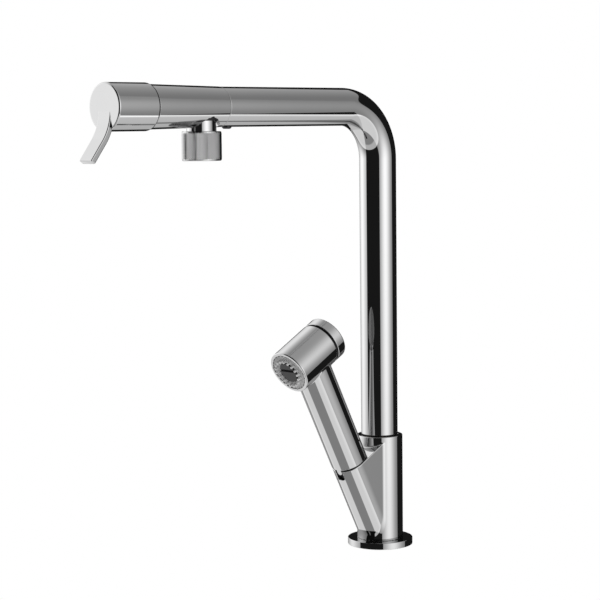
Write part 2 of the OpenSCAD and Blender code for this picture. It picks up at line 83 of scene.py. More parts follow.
# ------------------------------------------------------------------ materials
class Tree:
    """Small helper for building node trees."""
    def __init__(self, tree):
        self.t = tree
        tree.nodes.clear()

    def n(self, kind, _in=None, **kw):
        node = self.t.nodes.new(kind)
        for k, v in kw.items():
            setattr(node, k, v)
        for k, v in (_in or {}).items():
            if hasattr(v, "is_output"):
                self.t.links.new(v, node.inputs[k])
            else:
                node.inputs[k].default_value = v
        return node

    def math(self, op, a, b=None, clamp=False):
        ins = {0: a}
        if b is not None:
            ins[1] = b
        return self.n("ShaderNodeMath", ins, operation=op, use_clamp=clamp).outputs[0]

    def step(self, x, lo, hi):
        """0 below lo, 1 above hi, smooth between."""
        return self.n("ShaderNodeMapRange", {0: x, 1: lo, 2: hi, 3: 0.0, 4: 1.0},
                      interpolation_type="SMOOTHSTEP").outputs[0]

    def band(self, x, lo, hi, soft):
        """1 between lo and hi."""
        a = self.step(x, lo - soft / 2, lo + soft / 2)
        b = self.step(x, hi - soft / 2, hi + soft / 2)
        return self.math("SUBTRACT", a, b)


def ramp(t, fac, stops):
    node = t.n("ShaderNodeValToRGB", {0: fac})
    els = node.color_ramp.elements
    while len(els) < len(stops):
        els.new(0.5)
    for e, (p, c) in zip(els, stops):
        e.position = p
        e.color = (c, c, c, 1) if isinstance(c, (int, float)) else (*c, 1)
    return node.outputs[0]


def new_material(name):
    mat = bpy.data.materials.new(name)
    mat.use_nodes = True
    t = Tree(mat.node_tree)
    out = t.n("ShaderNodeOutputMaterial")
    bsdf = t.n("ShaderNodeBsdfPrincipled")
    mat.node_tree.links.new(bsdf.outputs[0], out.inputs[0])
    tc = t.n("ShaderNodeTexCoord")
    return mat, t, bsdf, tc.outputs["Object"]


def link(t, value, socket):
    t.t.links.new(value, socket)


def surface(name, metallic, base_a, base_b, rough_a, rough_b, scale, bump=0.0, bump_scale=4000.0,
            spec=0.5, coat=0.0, coat_rough=0.05, stretch=None):
    """Base colour and roughness vary between two values with noise, over a fine bump."""
    mat, t, bsdf, co = new_material(name)
    if stretch:
        co = t.n("ShaderNodeMapping", {0: co, 3: stretch}).outputs[0]
    big = t.n("ShaderNodeTexNoise", {"Vector": co, "Scale": scale, "Detail": 5.0, "Roughness": 0.6}).outputs[0]
    mix = t.n("ShaderNodeMix", {0: t.step(big, 0.35, 0.65), 6: (*base_a, 1), 7: (*base_b, 1)}, data_type="RGBA")
    link(t, mix.outputs[2], bsdf.inputs["Base Color"])
    fine = t.n("ShaderNodeTexNoise", {"Vector": co, "Scale": scale * 4.3, "Detail": 4.0}).outputs[0]
    rough = t.n("ShaderNodeMapRange", {0: fine, 1: 0.3, 2: 0.7, 3: rough_a, 4: rough_b}).outputs[0]
    link(t, rough, bsdf.inputs["Roughness"])
    bsdf.inputs["Metallic"].default_value = metallic
    bsdf.inputs["Specular IOR Level"].default_value = spec
    if coat:
        bsdf.inputs["Coat Weight"].default_value = coat
        bsdf.inputs["Coat Roughness"].default_value = coat_rough
    if bump:
        grain = t.n("ShaderNodeTexNoise", {"Vector": co, "Scale": bump_scale, "Detail": 2.0}).outputs[0]
        b = t.n("ShaderNodeBump", {"Strength": bump, "Distance": 0.0002, "Height": grain})
        link(t, b.outputs[0], bsdf.inputs["Normal"])
    return mat


CHROME = surface("polished_chrome", 1.0, (0.86, 0.86, 0.862), (0.842, 0.842, 0.845), 0.018, 0.04, 28.0)
KNURL = surface("knurled_chrome", 1.0, (0.86, 0.86, 0.862), (0.82, 0.82, 0.825), 0.03, 0.06, 60.0)
STEEL = surface("turned_steel", 1.0, (0.60, 0.61, 0.62), (0.50, 0.51, 0.52), 0.22, 0.34, 90.0, 0.15, 2500.0)
DARK = surface("blackened_steel", 1.0, (0.10, 0.10, 0.105), (0.06, 0.06, 0.065), 0.25, 0.4, 150.0, 0.2, 3000.0)
BRASS = surface("machined_brass", 1.0, (0.76, 0.60, 0.33), (0.66, 0.50, 0.25), 0.20, 0.34, 120.0, 0.12, 2500.0)
COPPER = surface("drawn_copper", 1.0, (0.80, 0.46, 0.32), (0.62, 0.32, 0.21), 0.20, 0.36, 70.0, 0.08, 2500.0,
                 stretch=(1.0, 1.0, 0.12))
BLACK = surface("black_plastic", 0.0, (0.014, 0.014, 0.015), (0.022, 0.022, 0.024), 0.38, 0.52, 160.0, 0.25, 5000.0)
GLOSS = surface("black_gloss", 0.0, (0.014, 0.014, 0.015), (0.019, 0.019, 0.020), 0.06, 0.12, 60.0, spec=0.62)
WHITE = surface("white_plastic", 0.0, (0.76, 0.76, 0.74), (0.70, 0.70, 0.68), 0.35, 0.48, 120.0, 0.2, 4500.0)
GREY = surface("grey_plastic", 0.0, (0.42, 0.43, 0.45), (0.35, 0.36, 0.38), 0.36, 0.5, 120.0, 0.2, 4500.0)
RUBBER = surface("black_rubber", 0.0, (0.020, 0.020, 0.021), (0.034, 0.034, 0.036), 0.62, 0.8, 140.0, 0.4, 3500.0,
                 spec=0.35)
SILICONE = surface("grey_silicone", 0.0, (0.34, 0.34, 0.34), (0.41, 0.41, 0.41), 0.30, 0.42, 200.0, 0.15, 5000.0,
                   spec=0.5)
# the nubs are the plate's own grey silicone drawn lighter: a painted highlight for the light on their tips
NUB_PAINTED_HIGHLIGHT = surface("silicone_painted_highlight", 0.0, (0.66, 0.66, 0.66), (0.74, 0.74, 0.74), 0.28, 0.38, 200.0, 0.15, 5000.0, spec=0.5)
CERAMIC = surface("lapped_ceramic", 0.0, (0.82, 0.80, 0.75), (0.76, 0.74, 0.70), 0.08, 0.16, 90.0, spec=0.6)

NODE_MATERIAL = {
    "chrome": CHROME, "steel": STEEL, "dark_screw": DARK, "brass": BRASS, "copper": COPPER,
    "black_plastic": BLACK, "white_plastic": WHITE, "grey_plastic": GREY, "rubber": RUBBER,
    "silicone": SILICONE, "ceramic": CERAMIC}
SLOT = {s["node"]: s["material_slot"] for s in frame["record"]["subparts"]}
BODY = {n: b for b, ns in frame["record"]["behaviour"]["bodies"].items() for n in ns}
for name, obj in nodes.items():
    mat = NODE_MATERIAL[SLOT[name]]
    if not obj.material_slots:
        obj.data.materials.append(mat)
    for s in obj.material_slots:
        s.material = mat

# ------------------------------------------------------------------ local frames: local millimetres to world
def rot_x(angle):
    c, s = math.cos(angle), math.sin(angle)
    return np.array([[1, 0, 0], [0, c, -s], [0, s, c]])


WORLD = (np.eye(3), np.zeros(3))
ARM = (rot_x(math.pi / 2), np.array([0, 0, ARM_Z]))                       # local z runs out along the arm, y is up
HOLSTER = (rot_x(LEAN), np.array([0, 0, HOL_Z0]))                         # local z runs up the holster
HEAD_C = np.array([0, -HEAD_S * math.sin(LEAN), HOL_Z0 + HEAD_S * math.cos(LEAN)])
HEAD = (rot_x(math.pi / 2 + LEAN + TIP), HEAD_C)                          # local z runs out of the spray face
NOZZLE = (np.eye(3), np.array([0, -NOZ_U, ARM_Z]))


def piece(name, verts, faces, normals, place, node, mat, flat=False, also=()):
    """A closed mesh in local millimetres that stands for a CAD node."""
    R, o = place
    v = (np.asarray(verts) @ R.T + o) * 0.001
    me = bpy.data.meshes.new(name)
    me.from_pydata(v.tolist(), [], faces)
    me.validate()
    me.materials.append(mat)
    me.polygons.foreach_set("use_smooth", [not flat] * len(me.polygons))
    me.update()
    if normals is not None and not flat:
        me.normals_split_custom_set_from_vertices((np.asarray(normals) @ R.T).tolist())
    ob = bpy.data.objects.new(name, me)
    bpy.context.scene.collection.objects.link(ob)
    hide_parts(node, *also)
    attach(ob, BODY[node])
    return ob


# ------------------------------------------------------------------ turned shapes
def rounded(corners, closed=True, step=15.0):
    """Profile from corners (r, z, fillet), counterclockwise in the (r, z) plane. Returns points and outward normals."""
    P, N = [], []
    k = len(corners)
    for i, (x, y, rad) in enumerate(corners):
        p = np.array([x, y], float)
        if not closed and i in (0, k - 1):
            q = np.array(corners[1 if i == 0 else k - 2][:2], float)
            d = (q - p) if i == 0 else (p - q)
            d /= np.linalg.norm(d)
            P.append(p)
            N.append(np.array([d[1], -d[0]]))
            continue
        a_ = np.array(corners[i - 1][:2], float)
        b_ = np.array(corners[(i + 1) % k][:2], float)
        d0, d1 = p - a_, b_ - p
        l0, l1 = np.linalg.norm(d0), np.linalg.norm(d1)
        d0, d1 = d0 / l0, d1 / l1
        turn = math.atan2(d0[0] * d1[1] - d0[1] * d1[0], d0 @ d1)
        rad = max(rad, 0.02)
        t = min(rad * math.tan(abs(turn) / 2), 0.49 * l0, 0.49 * l1)
        rad = t / math.tan(abs(turn) / 2)
        side = 1.0 if turn > 0 else -1.0
        c = p - d0 * t + np.array([-d0[1], d0[0]]) * rad * side
        n = max(2, int(abs(math.degrees(turn)) / step) + 1)
        a0 = math.atan2(*(p - d0 * t - c)[::-1])
        for j in range(n + 1):
            w = a0 + turn * j / n
            u = np.array([math.cos(w), math.sin(w)])
            P.append(c + rad * u)
            N.append(u * side)
    return np.array(P), np.array(N)


def turned(corners, n=160, closed=True, step=15.0):
    """Lathe about local z. Open profiles start and end on the axis."""
    P, N = rounded(corners, closed, step)
    m_ = len(P)
    th = np.arange(n) * 2 * math.pi / n
    c, s = np.cos(th), np.sin(th)
    V = np.zeros((n, m_, 3))
    V[..., 0], V[..., 1], V[..., 2] = np.outer(c, P[:, 0]), np.outer(s, P[:, 0]), P[:, 1]
    W = np.zeros((n, m_, 3))
    W[..., 0], W[..., 1], W[..., 2] = np.outer(c, N[:, 0]), np.outer(s, N[:, 0]), N[:, 1]
    if closed:
        faces = [(i * m_ + j, ((i + 1) % n) * m_ + j, ((i + 1) % n) * m_ + (j + 1) % m_, i * m_ + (j + 1) % m_)
                 for i in range(n) for j in range(m_)]
        return V.reshape(-1, 3), faces, W.reshape(-1, 3)
    inner = V[:, 1:-1].reshape(-1, 3)
    Wn = W[:, 1:-1].reshape(-1, 3)
    k = m_ - 2
    faces = [(i * k + j, ((i + 1) % n) * k + j, ((i + 1) % n) * k + j + 1, i * k + j + 1)
             for i in range(n) for j in range(k - 1)]
    a_, b_ = n * k, n * k + 1
    for i in range(n):
        i2 = (i + 1) % n
        faces.append((a_, i2 * k, i * k))
        faces.append((b_, i * k + k - 1, i2 * k + k - 1))
    verts = np.vstack([inner, V[0, 0], V[0, -1]])
    return verts, faces, np.vstack([Wn, W[0, 0], W[0, -1]])


def lattice(P):
    """Closed surface from P[n, m, 2] = (r, z) for n turns of the angle and a closed profile of m points."""
    n, m_ = P.shape[:2]
    th = np.arange(n) * 2 * math.pi / n
    V = np.stack([P[..., 0] * np.cos(th)[:, None], P[..., 0] * np.sin(th)[:, None], P[..., 1]], -1)
    faces = [(i * m_ + j, ((i + 1) % n) * m_ + j, ((i + 1) % n) * m_ + (j + 1) % m_, i * m_ + (j + 1) % m_)
             for i in range(n) for j in range(m_)]
    return V.reshape(-1, 3), faces


def threaded(r, depth, pitch, z0, z1, ri, n=72, per=8, lead=1.2, extra=()):
    """Tube with a helical thread outside between z0 and z1. extra adds (r, z) corners above the thread."""
    zs = np.linspace(z0, z1, int((z1 - z0) / pitch * per) + 1)
    th = np.arange(n) / n
    ph = zs[None, :] / pitch - th[:, None]
    tri = np.abs((ph - np.floor(ph)) * 2 - 1)                  # 1 on the crest's line, 0 at the root
    prof = np.clip((tri - 0.12) / 0.76, 0, 1)
    fade = np.clip(np.minimum(zs - z0, z1 - zs) / lead, 0, 1)[None, :]
    low = np.clip(1 - (zs - z0) / 0.8, 0, 1)[None, :] * depth * 0.9
    rr = r - depth * (1 - prof) * fade - low
    top = [(x, z) for x, z in extra] or [(r, z1 + 0.01)]
    m_ = len(zs) + len(top) + 2
    P = np.zeros((n, m_, 2))
    P[:, 0] = (ri, z0)
    P[:, 1:1 + len(zs), 0] = rr
    P[:, 1:1 + len(zs), 1] = zs
    for k, (x, z) in enumerate(top):
        P[:, 1 + len(zs) + k] = (x, z)
    P[:, -1] = (ri, top[-1][1])
    return lattice(P)


# ------------------------------------------------------------------ carved shapes: distance fields meshed on a grid
def union(a_, b_, r=0.0):
    if r <= 0:
        return np.minimum(a_, b_)
    u, v = np.maximum(r - a_, 0), np.maximum(r - b_, 0)
    return np.maximum(r, np.minimum(a_, b_)) - np.sqrt(u * u + v * v)


def isect(a_, b_, r=0.0):
    if r <= 0:
        return np.maximum(a_, b_)
    u, v = np.maximum(r + a_, 0), np.maximum(r + b_, 0)
    return np.minimum(-r, np.maximum(a_, b_)) + np.sqrt(u * u + v * v)


def cut(a_, b_, r=0.0):
    return isect(a_, -b_, r)


def carved(fn, xs, ys, zs):
    """Surface net of fn = 0 on a rectangular grid, drawn onto the surface exactly, with its true normals."""
    F = fn(xs[:, None, None], ys[None, :, None], zs[None, None, :]) + np.zeros((len(xs), len(ys), len(zs)))
    inside = F < 0
    shape = tuple(k - 1 for k in F.shape)
    total = np.zeros(shape + (3,))
    count = np.zeros(shape)
    axes = (xs, ys, zs)
    for ax in range(3):
        others = [i for i in range(3) if i != ax]
        lo = [slice(None)] * 3
        hi = [slice(None)] * 3
        lo[ax], hi[ax] = slice(0, -1), slice(1, None)
        a_, b_ = F[tuple(lo)], F[tuple(hi)]
        crosses = inside[tuple(lo)] != inside[tuple(hi)]
        t = np.where(crosses, a_ / np.where(crosses, a_ - b_, 1.0), 0.0)
        g = axes[ax]
        sh = [1, 1, 1]
        sh[ax] = -1
        at = g[:-1].reshape(sh) + t * np.diff(g).reshape(sh)
        for d1 in (0, 1):
            for d2 in (0, 1):
                sl = [slice(None)] * 3
                for o_, d in zip(others, (d1, d2)):
                    sl[o_] = slice(d, F.shape[o_] - 1 + d)
                c = crosses[tuple(sl)]
                total[..., ax] += np.where(c, at[tuple(sl)], 0)
                for o_, d in zip(others, (d1, d2)):
                    sh2 = [1, 1, 1]
                    sh2[o_] = -1
                    total[..., o_] += np.where(c, axes[o_][d:F.shape[o_] - 1 + d].reshape(sh2), 0)
                count += c
    active = count > 0
    index = -np.ones(shape, np.int64)
    index[active] = np.arange(active.sum())
    V = total[active] / count[active][:, None]
    quads = []
    for ax in range(3):
        o1, o2 = [(1, 2), (2, 0), (0, 1)][ax]
        lo = [slice(None)] * 3
        hi = [slice(None)] * 3
        lo[ax], hi[ax] = slice(0, -1), slice(1, None)
        lo[o1] = hi[o1] = slice(1, -1)
        lo[o2] = hi[o2] = slice(1, -1)
        a_, b_ = inside[tuple(lo)], inside[tuple(hi)]
        where = np.argwhere(a_ != b_)
        flip = a_[tuple(where.T)]
        where[:, o1] += 1
        where[:, o2] += 1
        e1, e2 = np.zeros(3, int), np.zeros(3, int)
        e1[o1], e2[o2] = 1, 1
        q = [index[tuple((where - d).T)] for d in (e1 + e2, e2, np.zeros(3, int), e1)]
        q = np.stack(q, 1)
        q[~flip] = q[~flip][:, ::-1]
        quads.append(q)
    quads = np.vstack(quads)

    def value(p):
        return fn(p[:, 0], p[:, 1], p[:, 2])

    def grad(p, e=2e-3):
        g = np.stack([value(p + d) - value(p - d) for d in np.eye(3) * e], 1) / (2 * e)
        return g / np.maximum(np.linalg.norm(g, axis=1), 1e-9)[:, None]

    for _ in range(6):
        g = grad(V)
        V = V - np.clip(value(V), -0.3, 0.3)[:, None] * g
    return V, quads.tolist(), grad(V)


def span(lo, hi, step):
    return np.linspace(lo, hi, max(2, int(round((hi - lo) / step)) + 1))


def spans(*parts):
    """Grid lines from (lo, hi, step) stretches that follow on from each other."""
    out = [span(*parts[0])]
    for p in parts[1:]:
        out.append(span(*p)[1:])
    return np.concatenate(out)


SL, CL = math.sin(LEAN), math.cos(LEAN)


# ------------------------------------------------------------------ base
v, f, n_ = turned([(16.7, 0, 0.2), (18.4, 0, 0.1), (18.4, 1.6, 0.05), (22.6, 1.6, 0.05), (22.6, 0, 0.1),
                   (25, 0, 0.35), (25, 5, 0.35), (16.7, 5, 0.1)], 224)
piece("flange", v, f, n_, WORLD, "base_flange", CHROME)


def column(x, y, z):
    s = -SL * y + CL * (z - HOL_Z0)
    t = CL * y + SL * (z - HOL_Z0)
    ax = np.abs(x)
    collar = isect(np.hypot(x, y) - 17.67, z - 85.5, 0.6)
    hull = np.where(t < 0, np.hypot(x, t), ax) - 14.0
    holster = isect(isect(hull, s - RIM_S, 0.5), y + 4.0)
    body = union(collar, holster, 0.9)
    body = isect(body, 5.05 - z, 0.12)
    body = cut(body, isect(np.hypot(x, t) - 12.5, 22.0 - s), 0.35)
    slot = isect(isect(ax - 3.5, RIM_S - 8.2 - s, 2.0), t + 8.0)
    body = cut(body, slot, 0.3)
    body = cut(body, isect(np.hypot(x, y) - 14.2, 60.0 - z), 0.3)
    body = cut(body, np.hypot(x, y) - 13.2)
    body = cut(body, isect(np.hypot(x, z - 74.0) - 2.5, 10.0 - y), 0.15)
    return body


v, f, n_ = carved(column, span(-18.2, 18.2, 0.52), span(-47.5, 18.2, 0.52), spans((4.6, 6.2, 0.4), (6.2, 86.2, 0.52)))
piece("column", v, f, n_, WORLD, "column_body", CHROME)

v, f = threaded(16.5, 0.85, 1.5, -62, -0.6, 13.2, n=96, extra=[(16.5, 4.98), (14.75, 4.99), (14.75, 16.8)])
shank = piece("shank", v, f, None, WORLD, "mounting_shank", BRASS)
shank.data.set_sharp_from_angle(angle=math.radians(38))

# ------------------------------------------------------------------ spout
def swept(corners, path, n=144, step=15.0, cuts=()):
    """Closed wall along a path: corners are (radius, distance along the path, fillet). cuts are extra distances."""
    P, N = rounded(corners, True, step)
    Q, M = [], []
    for i in range(len(P)):
        Q.append(P[i])
        M.append(N[i])
        j = (i + 1) % len(P)
        if abs(P[j][1] - P[i][1]) > 50:
            inner = sorted((c for c in cuts if min(P[i][1], P[j][1]) < c < max(P[i][1], P[j][1])),
                           reverse=P[j][1] < P[i][1])
            for c in inner:
                k = (c - P[i][1]) / (P[j][1] - P[i][1])
                Q.append(P[i] + k * (P[j] - P[i]))
                M.append(N[i])
    P, N = np.array(Q), np.array(M)
    m_ = len(P)
    V, W = np.zeros((n, m_, 3)), np.zeros((n, m_, 3))
    ph = np.arange(n) * 2 * math.pi / n
    for j in range(m_):
        o_, tan, b = path(P[j][1])
        a1 = np.array([1.0, 0, 0])
        radial = np.cos(ph)[:, None] * a1 + np.sin(ph)[:, None] * b
        V[:, j] = o_ + P[j][0] * radial
        W[:, j] = N[j][0] * radial + N[j][1] * tan
    faces = [(i * m_ + j, ((i + 1) % n) * m_ + j, ((i + 1) % n) * m_ + (j + 1) % m_, i * m_ + (j + 1) % m_)
             for i in range(n) for j in range(m_)]
    return V.reshape(-1, 3), faces, W.reshape(-1, 3)


RISE = ARM_Z - BEND_R
TURN = BEND_R * math.pi / 2


def spout_path(s):
    if s <= RISE:
        return np.array([0, 0, s]), np.array([0, 0, 1.0]), np.array([0, 1.0, 0])
    if s <= RISE + TURN:
        w = (s - RISE) / BEND_R
        radial = np.array([0, math.cos(w), math.sin(w)])
        return np.array([0, -BEND_R, RISE]) + BEND_R * radial, np.array([0, -math.sin(w), math.cos(w)]), radial
    return np.array([0, -BEND_R - (s - RISE - TURN), ARM_Z]), np.array([0, -1.0, 0]), np.array([0, 0, 1.0])


END = RISE + TURN + 163 - BEND_R
v, f, n_ = swept([(12.5, 86.2, 0.15), (14, 86.2, 0.35), (14, END - 0.04, 0.4), (12.5, END - 0.04, 0.1)],
                 spout_path, 160, cuts=[RISE + TURN * i / 40 for i in range(41)])
piece("spout_pipe", v, f, n_, WORLD, "spout_tube", CHROME)


def outlet(x, w, u):
    """x across, w up from the arm's axis, u out along the arm."""
    r = np.hypot(x, w)
    slope = (15.25 - 14.1) / 65.0
    body = (r - (14.1 + (u - 163) * slope)) * 0.99984
    body = isect(isect(body, 163.05 - u, 0.42), u - 227.97, 0.25)
    body = union(body, isect(r - 13.9, u - 238))
    body = union(body, isect(isect(r - 12.44, 140 - u), u - 200))
    body = cut(body, isect(r - 12.6, 206 - u))
    body = cut(body, isect(r - 10.9, u - 160))
    hole = isect(np.hypot(x, u - NOZ_U) - 12.1, w + 4.8)
    body = cut(body, hole, 0.35)
    screw = isect(np.hypot(x, u - 155) - 2.0, w + 5)
    return cut(body, screw)


v, f, n_ = carved(outlet, span(-15.6, 15.6, 0.5), span(-15.6, 15.6, 0.5),
                  spans((139.6, 162.4, 0.8), (162.4, 164.0, 0.15), (164.0, 195, 0.5), (195, 227.2, 0.9),
                        (227.2, 228.6, 0.2), (228.6, 238.6, 0.8)))
piece("outlet", v, f, n_, ARM, "outlet_body", CHROME)


# ------------------------------------------------------------------ lever
CAP_U0, CAP_U1 = 228.3, 263.7


def cap_shape(x, w, u):
    r = np.hypot(x, w)
    taper = (r - 16.28 + 0.3 * (CAP_U0 + 1.35 - u)) / 1.044
    body = isect(isect(isect(r - 16.28, taper), CAP_U0 - u, 0.35), u - CAP_U1, 1.2)
    room = isect(isect(r - 15.3, u - CAP_U1 + 1.4), -isect(r - 7.0, 245.4 - u))
    body = cut(body, room)
    body = cut(body, isect(r - 4.02, u - 259.9))
    along = (x + w) * math.sqrt(0.5)
    side = (x - w) * math.sqrt(0.5)
    return cut(body, isect(np.hypot(side, u - 252) - 1.6, along), 0.15)


def blade(half_w, half_t, rad, rf, angle, length, start):
    """Rounded bar along a bend and a straight, with a rounded end. Local axes x, up, out."""
    corner = [math.radians(d) for d in range(0, 91, 15)]
    arcs = []
    for k, (sx, sn) in enumerate(((1, 1), (-1, 1), (-1, -1), (1, -1))):
        for c in (corner if k % 2 == 0 else corner[::-1]):
            arcs.append((sx, sn, sx * math.cos(c), sn * math.sin(c)))
    rings = [(math.radians(angle) * i / 26, 0.0, 0.0) for i in range(27)]
    rings += [(math.radians(angle), (length - rad) * i / 12, 0.0) for i in range(1, 13)]
    rings += [(math.radians(angle), length - rad + rad * math.sin(al), al) for al in corner[1:]]
    V, W = [], []
    for th, lon, al in rings:
        out = np.array([0, math.sin(th), math.cos(th)])                    # from the bar's back to its front
        tan = np.array([0, -math.cos(th), math.sin(th)])
        mid = np.array([0, start[1] - (rf + half_t) * math.sin(th), start[0] + rf - (rf + half_t) * math.cos(th)])
        mid = mid + tan * lon
        inset = rad * (1 - math.cos(al))
        for sx, sn, cx, cn in arcs:
            px = sx * (half_w - rad) + cx * (rad - inset)
            pn = sn * (half_t - rad) + cn * (rad - inset)
            q = mid + np.array([px, 0, 0]) + out * pn
            q[2] = max(q[2], CAP_U1 - 1.3)
            V.append(q)
            nrm = math.cos(al) * (np.array([cx, 0, 0]) + out * cn) + math.sin(al) * tan
            W.append(nrm)
    m_ = len(arcs)
    faces = [(i * m_ + j, i * m_ + (j + 1) % m_, (i + 1) * m_ + (j + 1) % m_, (i + 1) * m_ + j)
             for i in range(len(rings) - 1) for j in range(m_)]
    faces.append(tuple(range(m_))[::-1])
    faces.append(tuple(range((len(rings) - 1) * m_, len(rings) * m_)))
    return np.array(V), faces, np.array(W)


v, f, n_ = carved(cap_shape, span(-16.5, 16.5, 0.3), span(-16.5, 16.5, 0.3),
                  spans((228.1, 230.1, 0.2), (230.1, 244.9, 1.85), (244.9, 245.9, 0.5), (245.9, 249.7, 1.9),
                        (249.7, 254.5, 0.4), (254.5, 262.1, 1.9), (262.1, 263.9, 0.12)))
v2, f2, n2 = blade(6.5, 2.0, 0.8, 34.0, 37.4, 16.1, (CAP_U1 - 0.02, -1.5))
f = list(f) + [tuple(i + len(v) for i in face) for face in f2]
piece("lever_handle", np.vstack([v, v2]), f, np.vstack([n_, n2]), ARM, "lever", CHROME)

# ------------------------------------------------------------------ nozzle
STARTS, KNURL_D = 46, 0.3
R_N, Z_TOP, Z_BOT = 14.0, -16.8, -37.1


def knurled(depth):
    """Diamond knurl: sharp points at every second corner of a half-pitch lattice, valleys at the others."""
    k = 2 * STARTS
    half = math.pi * R_N / STARTS
    rows = int((Z_TOP - Z_BOT - 0.5) / half) // 2 * 2
    z0 = (Z_TOP + Z_BOT) / 2 - half * rows / 2
    under = [(11.6, Z_BOT), (13.1, Z_BOT), (R_N - depth - 0.1, Z_BOT + 0.25)]
    above = [(R_N - depth - 0.1, Z_TOP - 0.25), (13.1, Z_TOP), (10.42, Z_TOP), (10.42, -23.1), (11.6, -23.1)]
    m_ = len(under) + rows + 1 + len(above)
    P = np.zeros((k, m_, 2))
    for j, q in enumerate(under):
        P[:, j] = q
    i_ = np.arange(k)
    for j in range(rows + 1):
        peak = (i_ + j) % 2 == 0
        inside = 0 < j < rows
        P[:, len(under) + j, 0] = np.where(peak & inside, R_N, R_N - depth)
        P[:, len(under) + j, 1] = z0 + j * half
    for j, q in enumerate(above):
        P[:, len(under) + rows + 1 + j] = q
    V, quads = lattice(P)
    faces = []
    for q in quads:
        i, j = q[0] // m_, q[0] % m_ - len(under)
        if 0 <= j < rows and (i + j) % 2 == 0:
            faces += [(q[0], q[1], q[3]), (q[1], q[2], q[3])]     # cut from valley to valley
        elif 0 <= j < rows:
            faces += [(q[0], q[1], q[2]), (q[0], q[2], q[3])]
        else:
            faces.append(q)
    return V, faces


v, f = knurled(KNURL_D)
piece("knurled_collar", v, f, None, NOZZLE, "nozzle_collar", KNURL, flat=True)

# ------------------------------------------------------------------ hand spray
ST, CT = math.sin(TIP), math.cos(TIP)


def handset(x, t, s):
    """x across, t square to the handle towards the column, s up the holster's axis."""
    k = s - HEAD_S
    c = -t * CT - k * ST
    e = k * CT - t * ST
    handle = isect(isect(np.hypot(x, t) - 14.0, HANDLE_S0 - s, 0.45), s - HEAD_S)
    barrel = isect(isect(np.hypot(x, e) - 17.0, c - FACE_Z, 0.85), -15.0 - c, 0.5)
    body = union(handle, barrel, 0.7)
    body = cut(body, isect(np.hypot(x, t) - 12.3, s - 160))
    bore = isect(np.hypot(x, e) - 15.2, c - (FACE_Z - 0.38))
    return cut(cut(body, bore), np.hypot(x, e) - 14.7, 0.2)


v, f, n_ = carved(handset, span(-17.6, 17.6, 0.47), span(-22.6, 15.9, 0.47),
                  spans((73.9, 75.5, 0.2), (75.5, 146.0, 2.35), (146.0, 186.6, 0.47)))
piece("spray_shell", v, f, n_, HOLSTER, "handset_body", CHROME)

v, f, n_ = turned([(0, -25, 0), (17, -25, 1.1), (17, -16.8, 0.45), (15.2, -16.8, 0.15), (15.2, -23.2, 0.3),
                   (6, -23.2, 0.3), (6, -20, 0.2), (0, -20, 0)], 176, closed=False)
piece("button_end", v, f, n_, HEAD, "button_cap", CHROME)

# the button's spring, a fixed helix of wire around the button's axis; the button's travel is 1.5 mm
COILS, STEPS, WIRE = 6, 40, 0.55
v = []
for i in range(COILS * STEPS + 1):
    w = 2 * math.pi * i / STEPS
    for j in range(12):
        q = 2 * math.pi * j / 12
        r_ = 6.4 + WIRE * math.cos(q)
        v.append((r_ * math.cos(w), r_ * math.sin(w), -19.2 + 9.6 * i / (COILS * STEPS) + WIRE * math.sin(q)))
f = [(i * 12 + j, (i + 1) * 12 + j, (i + 1) * 12 + (j + 1) % 12, i * 12 + (j + 1) % 12)
     for i in range(COILS * STEPS) for j in range(12)]
f += [tuple(range(12)), tuple(range(COILS * STEPS * 12, COILS * STEPS * 12 + 12))[::-1]]
spring = piece("return_spring", v, f, None, HEAD, "button_spring", STEEL)
spring.data.set_sharp_from_angle(angle=math.radians(50))
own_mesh(spring)


def face_plate():
    """Ring-shaped plate with 24 small slots along its edge."""
    top = FACE_Z - 0.42
    per = 12
    n = 24 * per
    P = np.zeros((n, 12, 2))
    for i in range(n):
        k = i % per
        deep = 0.7 if min(k, per - k) <= 2 else 0.0
        P[i] = [(0.5, 16.2), (15.0, 16.2), (15.15, 16.35), (15.15, top - 0.12), (15.05, top), (14.78, top),
                (14.76, top - deep), (13.92, top - deep), (13.90, top), (8.45, top), (8.15, top - 0.75),
                (0.5, FACE_Z - 1.22)]
    return lattice(P)


v, f = face_plate()
verts, faces, count = [v], list(f), len(v)
ring_faces = len(f)
for i in range(18):
    w = 2 * math.pi * i / 18
    p, q, _ = turned([(0, FACE_Z - 0.5, 0), (1.1, FACE_Z - 0.5, 0.02), (0.82, FACE_Z + 2.65, 0.22),
                      (0.36, FACE_Z + 2.65, 0.06), (0.22, FACE_Z + 1.9, 0.03), (0, FACE_Z + 1.9, 0)],
                     24, closed=False, step=30.0)
    verts.append(p + np.array([10.6 * math.cos(w), 10.6 * math.sin(w), 0]))
    faces += [tuple(j + count for j in face) for face in q]
    count += len(p)
plate = piece("spray_face", np.vstack(verts), faces, None, HEAD, "spray_plate", SILICONE)
plate.data.set_sharp_from_angle(angle=math.radians(40))
# the nubs take the lighter silicone, a painted highlight; the plate keeps the grey silicone
plate.data.materials.append(NUB_PAINTED_HIGHLIGHT)
plate.data.polygons.foreach_set("material_index", [0 if i < ring_faces else 1 for i in range(len(plate.data.polygons))])


def centre(x, y, z):
    body = isect(isect(np.hypot(x, y) - 8.0, z - (FACE_Z + 0.6), 0.35), FACE_Z - 1.2 - z)
    groove = isect(np.abs(y - 2.0) - 1.05, FACE_Z - 0.7 - z)
    return cut(body, groove, 0.12)


v, f, n_ = carved(centre, span(-8.4, 8.4, 0.24), span(-8.4, 8.4, 0.2), span(FACE_Z - 1.5, FACE_Z + 0.9, 0.15))
piece("spray_centre", v, f, n_, HEAD, "centre_disc", GLOSS)

